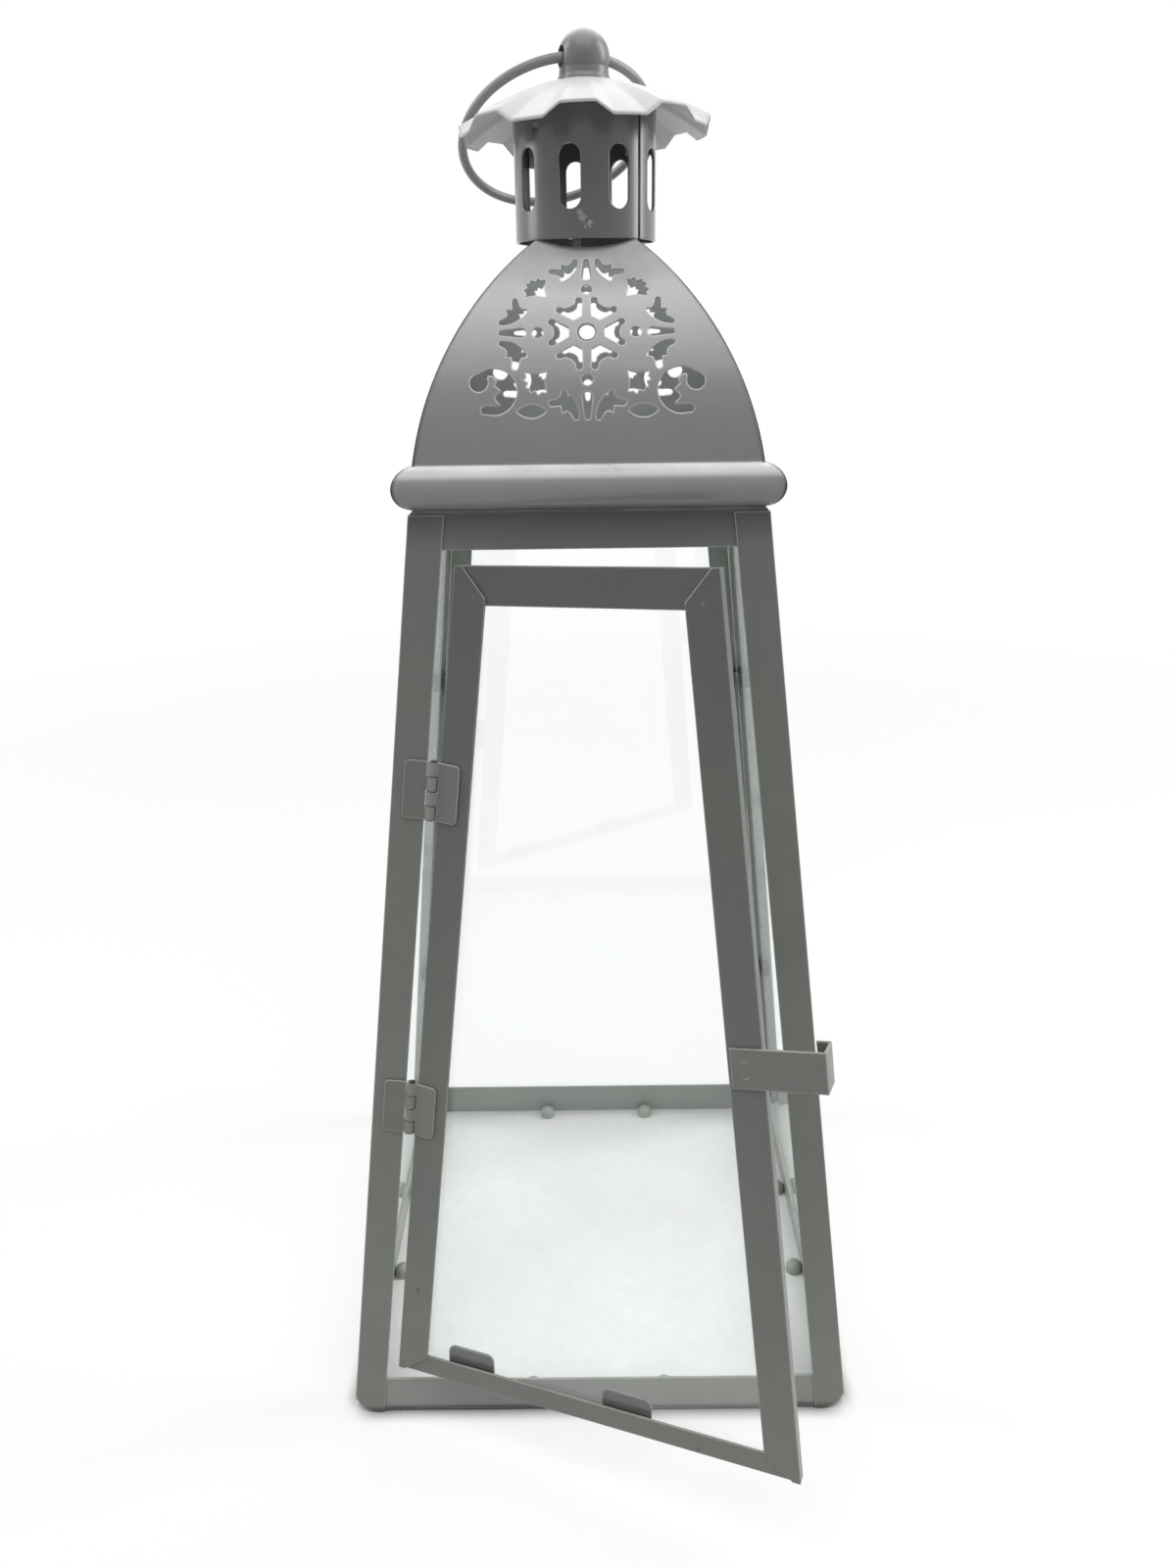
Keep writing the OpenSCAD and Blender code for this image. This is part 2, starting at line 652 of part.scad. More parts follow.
// A leaf with every other knuckle; plate_z is the height of its back over the pin's middle
module hinge_leaf(y, hand, plate_z) {
    pitch = hinge_h / knuckle_count;
    first = hand < 0 ? 0 : 1;
    free_r = knuckle_r + 0.3;
    translate([0, y / cos(edge_lean) - hinge_h / 2, 0]) difference() {
        union() {
            translate([0, 0, plate_z]) linear_extrude(sheet_t) difference() {
                polygon(concat(
                    [[0, 0]],
                    [for (p = arc([leaf_w - leaf_corner_r, leaf_corner_r], leaf_corner_r, -90, 0, 6))
                        [hand * p.x, p.y]],
                    [for (p = arc([leaf_w - leaf_corner_r, hinge_h - leaf_corner_r], leaf_corner_r, 0, 90, 6))
                        [hand * p.x, p.y]],
                    [[0, hinge_h]]));
                for (i = [first : 2 : knuckle_count - 1])
                    translate([-free_r, hinge_h - (i + 1) * pitch - knuckle_gap / 2])
                        square([2 * free_r, pitch + knuckle_gap]);
            }
            for (i = [1 - first : 2 : knuckle_count - 1])
                translate([0, hinge_h - i * pitch - knuckle_gap / 2, 0]) rotate([90, 0, 0])
                    cylinder(h = pitch - knuckle_gap, r = knuckle_r);
        }
        translate([0, hinge_h + over, 0]) rotate([90, 0, 0])
            cylinder(h = hinge_h + 2 * over, r = pin_r + pin_clearance);
    }
}

module hinge_leaf_post(y) {
    color(wall_paint) on_hinge() hinge_leaf(y, -1, -hinge_z);
}

module hinge_leaf_door(y) {
    color(wall_paint) on_hinge() rotate([0, -door_open, 0]) hinge_leaf(y, 1, door_proud - hinge_z);
}

module hinge_pin(y) {
    pin_len = hinge_h + 0.6;
    color(dark_metal) on_hinge() translate([0, y / cos(edge_lean) + pin_len / 2, 0]) rotate([90, 0, 0])
        cylinder(h = pin_len, r = pin_r);
}

// ---- Door ----

// Outer edges of the door at a distance up the slope
function door_left(y) = -door_left_0 + wall_taper * y;
function door_right(y) = door_right_0 - wall_taper * y;

// A sheet of the door, its back and front counted from the door's face
module door_layer(back, front) {
    layer(door_proud + back, door_proud + front) children();
}

// A stile drawn for the edge function value e(y); dir points towards the middle of the door
module stile(edge_low, edge_high, dir) {
    slope = (edge_high - edge_low) / (door_top - door_bottom);
    function edge(y, inset) = [edge_low + slope * (y - door_bottom) + dir * inset, y];
    color(wall_paint) door_swing() {
        door_layer(-sheet_t, 0) polygon([
            edge(door_bottom, 0), edge(door_bottom, mitre_flat),
            edge(door_bottom + door_bottom_h, stile_w),
            edge(door_top - door_top_h + 2, stile_w), edge(door_top, mitre_flat), edge(door_top, 0)]);
        door_layer(-door_depth, 0) polygon([
            edge(door_bottom, 0), edge(door_bottom, sheet_t), edge(door_top, sheet_t), edge(door_top, 0)]);
    }
}

module door_stile_hinge() {
    stile(door_left(door_bottom), door_left(door_top), 1);
}

module door_stile_latch() {
    stile(door_right(door_bottom), door_right(door_top), -1);
}

module door_band(low, high, inset) {
    polygon([[door_left(low) + inset, low], [door_right(low) - inset, low],
             [door_right(high) - inset, high], [door_left(high) + inset, high]]);
}

// A rail behind the stiles, with a flange along its outer edge
module door_rail(low, high, flange_low) {
    inset = sheet_t + fit_gap;
    color(wall_paint) door_swing() {
        door_layer(-2 * sheet_t, -sheet_t) door_band(low, high, inset);
        door_layer(-door_depth, -sheet_t) door_band(flange_low, flange_low + sheet_t, inset);
    }
}

module door_rail_top() {
    door_rail(door_top - door_top_h, door_top, door_top - sheet_t);
}

module door_rail_bottom() {
    door_rail(door_bottom, door_bottom + door_bottom_h, door_bottom);
}

module door_glass() {
    front = -2 * sheet_t - fit_gap;
    color(pane_tint) door_swing() door_layer(front - glass_t, front)
        door_band(door_bottom + sheet_t + 1.5, door_top - sheet_t - 1.5, door_pane_inset);
}

// Tab with a rounded free end, standing on the line y = 0
module clip_tab(h) {
    r = 2.5;
    square([door_clip_w, h - r]);
    translate([r, h - r]) circle(r);
    translate([door_clip_w - r, h - r]) circle(r);
    translate([r, h - 2 * r]) square([door_clip_w - 2 * r, 2 * r]);
}

module door_clips() {
    front = -max(door_depth, 2 * sheet_t + 2 * fit_gap + glass_t);
    low_h = door_bottom_h + door_clip_show;
    color(dark_metal) door_swing() door_layer(front - sheet_t, front) {
        for (x = door_clip_low_x) translate([x - door_clip_w / 2, door_bottom]) clip_tab(low_h);
        for (x = door_clip_top_x) translate([x - door_clip_w / 2, door_top]) mirror([0, 1])
            clip_tab(top_clip_h);
    }
}

// Strap on the latch stile that hooks round the post: x runs out of the door's edge
module latch_section() {
    tip = (latch_gap + post_w) * cos(edge_lean) + 0.6;
    end = tip + latch_reach;
    back = door_proud - latch_depth;
    start = -stile_w + 1.1;
    polygon(concat(
        [[start, door_proud], [end - sheet_t, door_proud], [end - sheet_t, back + sheet_t],
         [tip, back + sheet_t]],
        arc([tip + sheet_t / 2, back + sheet_t / 2], sheet_t / 2, 180, 270, 3),
        [[end, back], [end, door_proud + sheet_t], [start, door_proud + sheet_t]]));
}

module latch_strap() {
    color(wall_paint) door_swing() translate([door_right(latch_y), latch_y, 0])
        rotate([0, 0, edge_lean]) difference() {
            translate([0, latch_h / 2, 0]) rotate([90, 0, 0]) linear_extrude(latch_h) latch_section();
            for (y = [-2.4, 2.4]) translate([-stile_w / 2, y, door_proud + sheet_t - 0.25])
                cylinder(h = over, r = dimple_r, $fn = 24);
        }
}

// ---- Assembly ----

floor_plate();
floor_rivets();
base_rail(0);  // base_rail_front
base_rail(1);  // base_rail_right
base_rail(2);  // base_rail_back
base_rail(3);  // base_rail_left
corner_post(0);  // post_front_right
corner_post(1);  // post_back_right
corner_post(2);  // post_back_left
corner_post(3);  // post_front_left
top_rail(0);  // top_rail_front
top_rail(1);  // top_rail_right
top_rail(2);  // top_rail_back
top_rail(3);  // top_rail_left
glass_pane(1);  // glass_right
glass_pane(2);  // glass_back
glass_pane(3);  // glass_left
glass_clips();
glass_strip(1);  // glass_strip_right
glass_strip(2);  // glass_strip_back
glass_strip(3);  // glass_strip_left
roof_panel(0);  // roof_panel_front
roof_panel(1);  // roof_panel_right
roof_panel(2);  // roof_panel_back
roof_panel(3);  // roof_panel_left
chimney();
canopy_bracket();
canopy();
finial();
finial_washer();
finial_nut();
handle_ring();
hinge_leaf_post(hinge_high_y);  // hinge_leaf_post_upper
hinge_leaf_post(hinge_low_y);  // hinge_leaf_post_lower
hinge_pin(hinge_high_y);  // hinge_pin_upper
hinge_pin(hinge_low_y);  // hinge_pin_lower
hinge_leaf_door(hinge_high_y);  // hinge_leaf_door_upper
hinge_leaf_door(hinge_low_y);  // hinge_leaf_door_lower
door_stile_hinge();
door_stile_latch();
door_rail_top();
door_rail_bottom();
door_glass();
door_clips();
latch_strap();
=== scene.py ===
import json
import math

import bmesh
import bpy
from mathutils import Matrix, Vector


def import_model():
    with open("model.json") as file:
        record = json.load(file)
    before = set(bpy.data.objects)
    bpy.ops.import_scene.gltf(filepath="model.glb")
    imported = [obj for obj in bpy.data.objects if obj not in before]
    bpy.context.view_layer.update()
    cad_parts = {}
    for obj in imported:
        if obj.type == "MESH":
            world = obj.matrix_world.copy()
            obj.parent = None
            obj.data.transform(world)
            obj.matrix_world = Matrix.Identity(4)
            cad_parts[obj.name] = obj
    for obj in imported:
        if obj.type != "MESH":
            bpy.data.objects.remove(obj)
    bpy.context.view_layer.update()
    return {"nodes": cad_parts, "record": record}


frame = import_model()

# Every visible piece is a CAD node. This script gives each node its material, and adds the
# floor, the world, the lamps and the camera. Lengths are in metres.


# ---- Colours ----

# Tints of grey, to be multiplied by a level
WHITE = (1.0, 1.0, 1.0)
WARM = (0.995, 1.01, 0.94)
COOL = (0.985, 1.0, 1.005)
GREY = (0.99, 0.99, 1.02)
MOSS = (0.97, 1.04, 0.95)

# How far the slow changes of tone drift from the tint, one way and the other
LILAC_DRIFT = (0.02, -0.015, 0.03)
OLIVE_DRIFT = (-0.015, 0.01, -0.03)

# Each as (level, tint)
# Pale dust on upward faces, which also serves as a painted highlight from the light above
DUST_AND_TOP_LIGHT_COLOR = (0.82, (1.0, 0.99, 0.98))
CHIP_COLOR = (0.05, (1.0, 0.93, 0.86))
# Painted shade in the gaps between the roof panels
JOINT_SHADE_COLOR = (0.02, WHITE)


def rgb(level, tint=WHITE):
    return (*(level * part for part in tint), 1.0)


def drifted(tint, drift, amount):
    return tuple(part * (1 + amount * step) for part, step in zip(tint, drift))


# ---- Node helpers ----

# Each noise as (features to a metre, detail, roughness)
NOISES = {
    "ground": (3.0, 4.0, 0.5),     # the floor round the lantern
    "cloud": (14.0, 4.0, 0.6),     # slow changes of tone
    "smear": (22.0, 5.0, 0.65),    # smears on glass
    "cluster": (24.0, 1.0, 0.5),   # where chips gather
    "tarnish": (60.0, 4.0, 0.6),   # tone of steel
    "scuff": (62.0, 6.0, 0.7),     # gloss, and gaps in the pale edges and in the dust
    "wiped": (180.0, 3.0, 0.6),    # fine traces on glass
    "speck": (260.0, 3.0, 0.6),    # fine specks
    "peel": (520.0, 2.0, 0.5),     # orange peel
    "drawn": (900.0, 3.0, 0.6),    # drawn lines of steel
    "grit": (1600.0, 3.0, 0.6),    # ragged rims of marks
}

# The range in which nearly all of a noise lies
MOST = (0.3, 0.7)


class Tree:
    """Builds the nodes of a material or world, from left to right."""

    NODE_STEP = 180

    def __init__(self, owner):
        owner.use_nodes = True
        self.owner = owner
        self.nodes = owner.node_tree.nodes
        self.links = owner.node_tree.links
        self.nodes.clear()

    def add(self, kind, inputs=None, **settings):
        """Add a node. Each input is a socket to link, or a value."""
        node = self.nodes.new(kind)
        node.location = (len(self.nodes) * self.NODE_STEP, 0)
        for key, value in settings.items():
            setattr(node, key, value)
        for key, value in (inputs or {}).items():
            if isinstance(value, bpy.types.NodeSocket):
                self.links.new(value, node.inputs[key])
            else:
                node.inputs[key].default_value = value
        return node

    def place(self):
        return self.add("ShaderNodeTexCoord").outputs["Object"]

    def axes(self, vector):
        return self.add("ShaderNodeSeparateXYZ", {0: vector}).outputs

    def noise(self, vector, name):
        scale, detail, roughness = NOISES[name]
        return self.add("ShaderNodeTexNoise", {
            "Vector": vector, "Scale": scale, "Detail": detail,
            "Roughness": roughness}).outputs["Fac"]

    def spread(self, value, low, high, to_low=0.0, to_high=1.0):
        """The value's range from low to high, moved to another range and clamped."""
        return self.add("ShaderNodeMapRange", {
            "Value": value, "From Min": low, "From Max": high,
            "To Min": to_low, "To Max": to_high}).outputs["Result"]

    def math(self, operation, a, b=0.0):
        return self.add("ShaderNodeMath", {0: a, 1: b}, operation=operation).outputs[0]

    def vector(self, operation, a, b):
        """A vector operation that gives a vector."""
        node = self.add("ShaderNodeVectorMath", {0: a, 1: b}, operation=operation)
        return node.outputs["Vector"]

    def measure(self, operation, a, b=(0.0, 0.0, 0.0)):
        """A vector operation that gives a number."""
        node = self.add("ShaderNodeVectorMath", {0: a, 1: b}, operation=operation)
        return node.outputs["Value"]

    def mix(self, factor, a, b, blend="MIX"):
        return self.add("ShaderNodeMix", {0: factor, 6: a, 7: b},
                        data_type="RGBA", blend_type=blend).outputs[2]

    def rounded(self, radius, samples):
        return self.add("ShaderNodeBevel", {"Radius": radius}, samples=samples).outputs["Normal"]

    def rays(self, *names):
        """1 for the named kinds of ray."""
        path = self.add("ShaderNodeLightPath").outputs
        found = path[names[0]]
        for name in names[1:]:
            found = self.math("MAXIMUM", found, path[name])
        return found

    def seen(self):
        """1 for rays that show a surface, also in a reflection or through glass."""
        return self.rays("Is Camera Ray", "Is Transmission Ray", "Is Glossy Ray")

    def mix_shaders(self, factor, a, b):
        return self.add("ShaderNodeMixShader", {
            0: factor, 1: a.outputs[0], 2: b.outputs[0]})

    def output(self, shader, kind="ShaderNodeOutputMaterial"):
        self.add(kind, {"Surface": shader.outputs[0]})
        return self.owner


# ---- Paint ----

MOTTLE_SWING = 0.06       # share by which the slow changes of tone are darker and lighter
SPECK_SHARE = 0.16        # how much of a speck shows
SPECK_TONE = 0.72         # its level, as a share of the paint's
FOOT_LIGHT_TOP = 0.30       # height at which the painted light at the foot has gone
# strength of the pale edges: rubbed paint, and a painted highlight where the edges catch the light
EDGE_WEAR_AND_HIGHLIGHT = 0.85
TUBE_RIM = (1.04, 1.01)   # where a knuckle's painted highlight ends, in radii
SEAM_HALF = 0.0012        # distance from a roof joint at which its painted shade ends
CHIP_CELLS = 46.0         # cells to a metre, of which some hold a chip
CHIP_CLUSTER = 0.66       # cluster noise above which they do
CHIP_RIM = (0.075, 0.05)  # where a chip begins and is whole, in cells
MARK_RAGGED = 0.9         # how far a mark's rim wanders, in radii
MARK_CORE = 0.7           # where a mark is whole, in radii
BUMP_DEPTH = 0.00012
PEEL_HEIGHT = 0.35        # heights and depths in the bump, in bump depths
CHIP_DEPTH = 1.2
MARK_DEPTH = 1.5


def mottled(t, level, tint, mottle, cloud, speck):
    """The paint's own colour, with slow lilac and olive changes and fine darker specks."""
    swing = MOTTLE_SWING * mottle
    shade = t.mix(t.spread(cloud, *MOST),
                  rgb(level * (1 - swing), drifted(tint, LILAC_DRIFT, mottle)),
                  rgb(level * (1 + swing), drifted(tint, OLIVE_DRIFT, mottle)))
    return t.mix(t.spread(speck, 0.35, 0.75, 0.0, SPECK_SHARE * mottle), shade,
                 rgb(level * SPECK_TONE, tint))


def looks_inwards(t, place, flat):
    """1 on faces that look towards the lantern's upright axis."""
    from_axis = t.vector("MULTIPLY", place, (1.0, 1.0, 0.0))
    return t.spread(t.measure("DOT_PRODUCT", flat, from_axis), 0.0, -0.004)


def rubbed_and_highlit_edges(t, flat, rounded, scuff):
    """1 where the rounded normal leaves the flat one, apart from scuffed gaps: rubbed paint, and a
    painted highlight on the edges.
    """
    turn = t.measure("DOT_PRODUCT", rounded, flat)
    return t.math("MULTIPLY", t.spread(turn, 0.995, 0.90), t.spread(scuff, 0.34, 0.56, 0.55, 1.0))


def on_tube(t, place, point, direction, radius):
    """1 within the radius of a line."""
    arm = t.vector("CROSS_PRODUCT", t.vector("SUBTRACT", place, point), direction)
    return t.spread(t.measure("LENGTH", arm), *(radius * rim for rim in TUBE_RIM))


def roof_joints(t, axes):
    """1 along the mitred joints, which lie on the diagonals of the plan."""
    apart = t.math("SUBTRACT", t.math("ABSOLUTE", axes["X"]), t.math("ABSOLUTE", axes["Y"]))
    return t.spread(t.math("ABSOLUTE", apart), SEAM_HALF, SEAM_HALF / 2)


def dust_and_top_light(t, flat, scuff):
    """1 on faces that look up, for dust that is also a painted highlight from above."""
    level = t.spread(t.axes(flat)["Z"], 0.45, 0.95)
    return t.math("MULTIPLY", level, t.spread(scuff, 0.35, 0.65, 0.7, 1.0))


def small_chips(t, place, speck):
    """1 inside small ragged chips, which come in clusters."""
    cell = t.add("ShaderNodeTexVoronoi", {
        "Vector": place, "Scale": CHIP_CELLS, "Randomness": 1.0})
    ragged = t.math("ADD", cell.outputs["Distance"], t.spread(speck, 0.2, 0.8, -0.06, 0.06))
    chosen = t.math("GREATER_THAN", t.noise(place, "cluster"), CHIP_CLUSTER)
    return t.math("MULTIPLY", t.spread(ragged, *CHIP_RIM), chosen)


def spot(t, place, grit, centre, radius):
    """1 inside one ragged spot."""
    away = t.measure("DISTANCE", place, centre)
    ragged = MARK_RAGGED * radius
    away = t.math("ADD", away, t.spread(grit, *MOST, -ragged, ragged))
    return t.spread(away, radius, radius * MARK_CORE)


def paint(name, level, tint=WARM, rough=0.42, uneven=0.09, mottle=1.0, painted_foot_light=None, inside=0.0,
          inside_tint=COOL, fades=(), wear_and_highlight=1.0, knuckles=(), joint_shade=0.0, dust=0.0, chips=0.0,
          marks=(), bevel=0.0007, soften=0.0, coat=0.0):
    """Satin paint on sheet metal, with faint orange peel, uneven gloss, and pale edges that are
    partly rubbed paint and partly a painted highlight.

    level, tint: its colour
    rough, uneven: its roughness, and how far that wanders
    mottle: strength of its changes of tone
    painted_foot_light: gain of each part of the colour at the foot of the lantern, a painted light
    from the floor
    inside, inside_tint: paler colour of faces that look inwards, a painted light inside the lantern
    fades: painted light and shade with height, each (low z, high z, gain below, gain above)
    worn: strength of the pale edges, rubbed paint and painted highlight
    knuckles: (point, direction, radius, gain) of the rolled tubes on the hinge line, which get a
    painted highlight
    seam: strength of the painted shade in the joints between the roof panels
    dust, chips: strength of the dust on upward faces, which is also a painted highlight, and of the
    small dark chips
    marks: weld dimples and scratches, each (place, radius, level)
    bevel: radius of the pale rubbed and highlit edges and of the shading over them, or 0 for none
    soften: a wider radius for the shading alone, or 0
    coat: weight of the clear coat
    """
    t = Tree(bpy.data.materials.new(name))
    place = t.place()
    axes = t.axes(place)
    cloud, scuff = t.noise(place, "cloud"), t.noise(place, "scuff")
    speck, peel = t.noise(place, "speck"), t.noise(place, "peel")
    flat = t.add("ShaderNodeNewGeometry").outputs["Normal"]
    rounded = t.rounded(bevel, 8) if bevel else flat

    shade = mottled(t, level, tint, mottle, cloud, speck)
    # Painted light: the colour grows lighter towards the foot, for the light from the floor
    if painted_foot_light:
        lit_at_foot = t.mix(1.0, shade, (*painted_foot_light, 1.0), blend="MULTIPLY")
        shade = t.mix(t.spread(axes["Z"], FOOT_LIGHT_TOP, 0.0), shade, lit_at_foot)
    # Painted light: faces that look inwards are paler, for the light inside the lantern
    if inside:
        shade = t.mix(looks_inwards(t, place, flat), shade, rgb(inside, inside_tint))
    # Painted light and shade that change with height
    for low, high, below, above in fades:
        gain = t.spread(axes["Z"], low, high, below, above)
        gain = t.add("ShaderNodeCombineColor", {0: gain, 1: gain, 2: gain}).outputs[0]
        shade = t.mix(1.0, shade, gain, blend="MULTIPLY")
    # Pale edges: rubbed paint, and a painted highlight on the edges
    rubbed = t.math("MULTIPLY", rubbed_and_highlit_edges(t, flat, rounded, scuff), EDGE_WEAR_AND_HIGHLIGHT * wear_and_highlight)
    shade = t.mix(rubbed, shade, rgb(min(level * 3.2 + 0.12, 0.85), tint))
    # Painted highlight on the hinge's knuckles
    if knuckles:
        *tube, gain = knuckles
        shade = t.mix(on_tube(t, place, *tube), shade, rgb(level * gain, tint))
    # Painted shade in the joints between the roof panels
    if joint_shade:
        shade = t.mix(t.math("MULTIPLY", roof_joints(t, axes), joint_shade), shade, rgb(*JOINT_SHADE_COLOR))
    # Dust on upward faces, which also paints a highlight from above
    if dust:
        shade = t.mix(t.math("MULTIPLY", dust_and_top_light(t, flat, scuff), dust), shade, rgb(*DUST_AND_TOP_LIGHT_COLOR))

    roughness = t.spread(scuff, *MOST, rough - uneven, rough + uneven)
    height = t.math("MULTIPLY", peel, PEEL_HEIGHT)
    if chips:
        chip = t.math("MULTIPLY", small_chips(t, place, speck), chips)
        shade = t.mix(chip, shade, rgb(*CHIP_COLOR))
        roughness = t.math("ADD", roughness, t.math("MULTIPLY", chip, 0.25))
        height = t.math("SUBTRACT", height, t.math("MULTIPLY", chip, CHIP_DEPTH))
    grit = t.noise(place, "grit") if marks else None
    for centre, radius, tone in marks:
        mark = spot(t, place, grit, centre, radius)
        shade = t.mix(t.math("MULTIPLY", mark, 0.8), shade, rgb(tone, tint))
        height = t.math("SUBTRACT", height, t.math("MULTIPLY", mark, MARK_DEPTH))

    bump = t.add("ShaderNodeBump", {
        "Strength": 0.16, "Distance": BUMP_DEPTH, "Height": height,
        "Normal": t.rounded(soften, 12) if soften else rounded})
    return t.output(t.add("ShaderNodeBsdfPrincipled", {
        "Base Color": shade, "Metallic": 0.0, "Roughness": roughness, "IOR": 1.48,
        "Specular IOR Level": 0.5, "Coat Weight": coat, "Coat Roughness": 0.18,
        "Normal": bump.outputs["Normal"]}))


# ---- Steel and glass ----

DRAWN_SQUEEZE = (1.0, 1.0, 0.06)    # stretches the drawn lines along the height


def steel(name, level, rough):
    """Dull plated steel with fine drawn lines."""
    t = Tree(bpy.data.materials.new(name))
    place = t.place()
    along = t.add("ShaderNodeMapping", {"Vector": place, "Scale": DRAWN_SQUEEZE}).outputs[0]
    lines = t.noise(along, "drawn")
    tarnish = t.noise(place, "tarnish")
    shade = t.mix(t.spread(tarnish, *MOST), rgb(level * 0.85), rgb(level * 1.1))
    shade = t.mix(t.spread(lines, *MOST, 0.0, 0.3), shade, rgb(level * 0.7))
    bump = t.add("ShaderNodeBump", {"Strength": 0.15, "Distance": 0.0001, "Height": lines})
    return t.output(t.add("ShaderNodeBsdfPrincipled", {
        "Base Color": shade, "Metallic": 1.0,
        "Roughness": t.spread(tarnish, *MOST, rough - 0.08, rough + 0.1),
        "Normal": bump.outputs[0]}))


def pane(name):
    """Clear float glass, greener where it is seen at a grazing angle, with faint smears."""
    t = Tree(bpy.data.materials.new(name))
    place = t.place()
    traces = t.math("MULTIPLY", t.noise(place, "smear"), t.noise(place, "wiped"))
    graze = t.add("ShaderNodeLayerWeight", {"Blend": 0.35}).outputs["Facing"]
    glass = t.add("ShaderNodeBsdfPrincipled", {
        "Base Color": t.mix(t.spread(graze, 0.35, 0.95), (0.985, 0.997, 0.992, 1.0),
                            (0.80, 0.92, 0.87, 1.0)),
        "Metallic": 0.0, "Roughness": t.spread(traces, 0.18, 0.42, 0.0, 0.008), "IOR": 1.45,
        "Transmission Weight": 1.0})
    clear = t.add("ShaderNodeBsdfTransparent", {"Color": (0.985, 0.993, 0.988, 1.0)})
    light = t.rays("Is Shadow Ray", "Is Diffuse Ray")
    return t.output(t.mix_shaders(light, glass, clear))


# ---- Materials of the nodes ----

# The line of the door's hinge pins, and the radius of the knuckles round it
HINGE_POINT = (-0.07445, -0.087596, 0.000067)
HINGE_LINE = (-0.111415, -0.111415, -0.987509)
KNUCKLE_R = 0.0017

# Heights between which the frame is painted darker: painted shade under the eaves, and a painted
# contact shadow at its foot
EAVES_SHADE = (0.299, 0.307)
FOOT_SHADE = (0.0, 0.0022)

# Heights on the roof: where its bead meets its dome, the shoulder of the dome and its head
BEAD_TOP = 0.3215
SHOULDER = 0.360
DOME_TOP = 0.388

WELDS_ON_DOOR = [
    ((-0.03394, -0.05846, 0.28552), 0.0006, 0.16),
    ((0.03041, -0.08391, 0.28817), 0.0006, 0.16),
]
SCRATCHES_ON_CHIMNEY = [
    ((-0.0016, -0.02115, 0.38890), 0.0008, 0.34),
    ((-0.0007, -0.02119, 0.38745), 0.0012, 0.36),
    ((0.0004, -0.02119, 0.38650), 0.0007, 0.02),
    ((0.0010, -0.02115, 0.38590), 0.0010, 0.36),
    ((0.0001, -0.02119, 0.38520), 0.0006, 0.30),
]

PAINTS = {
    "frame_paint": dict(
        level=0.155, rough=0.34, chips=0.9, painted_foot_light=(1.58, 1.65, 1.54), inside=0.30,
        inside_tint=MOSS, fades=[(*EAVES_SHADE, 1.0, 0.45), (*FOOT_SHADE, 0.12, 1.0)]),
    # A paler copy of the frame paint for the base rails: painted light from the floor at the
    # lantern's foot
    "lit_base_paint": dict(
        level=0.35, rough=0.34, chips=0.6, inside=0.30, inside_tint=MOSS,
        fades=[(*FOOT_SHADE, 0.08, 1.0)]),
    "door_paint": dict(
        level=0.093, rough=0.34, chips=0.6, painted_foot_light=(2.2, 2.24, 2.16), marks=WELDS_ON_DOOR),
    "roof_paint": dict(
        level=0.212, tint=GREY, rough=0.34, chips=0.5, dust=1.0, inside=0.55,
        inside_tint=(0.98, 1.02, 0.97), joint_shade=0.9, coat=0.5,
        # Painted light: the bead lighter, and the dome lighter towards its head
        fades=[(BEAD_TOP - 0.0006, BEAD_TOP + 0.001, 1.22, 0.94),
               (BEAD_TOP + 0.001, SHOULDER, 1.0, 1.05), (SHOULDER, DOME_TOP, 1.0, 1.5)]),
    "chimney_paint": dict(
        level=0.098, tint=GREY, rough=0.30, uneven=0.02, mottle=0.25, wear_and_highlight=0.2, coat=0.5,
        marks=SCRATCHES_ON_CHIMNEY),
    "canopy_paint": dict(level=0.64, tint=COOL, rough=0.36, mottle=0.5, soften=0.002),
    "finial_paint": dict(
        level=0.155, tint=GREY, rough=0.32, uneven=0.02, mottle=0.3, dust=0.5, bevel=0.0),
    "floor_paint": dict(level=0.88, tint=(0.99, 1.0, 0.995), rough=0.5),
    "rivet_paint": dict(level=0.36, tint=MOSS, rough=0.4, bevel=0.0),
    "hinge_paint": dict(
        level=0.145, rough=0.32, painted_foot_light=(1.5, 1.53, 1.45),
        knuckles=(HINGE_POINT, HINGE_LINE, KNUCKLE_R, 1.7)),
    "handle_paint": dict(level=0.24, tint=(0.99, 1.0, 0.96), rough=0.34, bevel=0.0),
    "clip_steel": dict(level=0.085, tint=MOSS, rough=0.4),
}
MATERIALS = {name: paint(name, **settings) for name, settings in PAINTS.items()}
MATERIALS["plain_steel"] = steel("plain_steel", 0.42, 0.38)
MATERIALS["pin_steel"] = steel("pin_steel", 0.10, 0.45)
MATERIALS["pane_glass"] = pane("pane_glass")

# Each node's material is the record's slot, apart from these
SLOT_OF = {part["node"]: part["material_slot"] for part in frame["record"]["subparts"]}
SLOT_OF["finial"] = "finial_paint"
SLOT_OF["floor_rivets"] = "rivet_paint"
SLOT_OF["hinge_pin_upper"] = SLOT_OF["hinge_pin_lower"] = "pin_steel"
# The base rails take the paler copy of the frame paint, a painted light at the foot
SLOT_OF.update((f"base_rail_{side}", "lit_base_paint") for side in ("front", "right", "back", "left"))
for node_name, node in frame["nodes"].items():
    node.data.materials.clear()
    node.data.materials.append(MATERIALS[SLOT_OF[node_name]])


# ---- Floor, world, lamps and camera ----

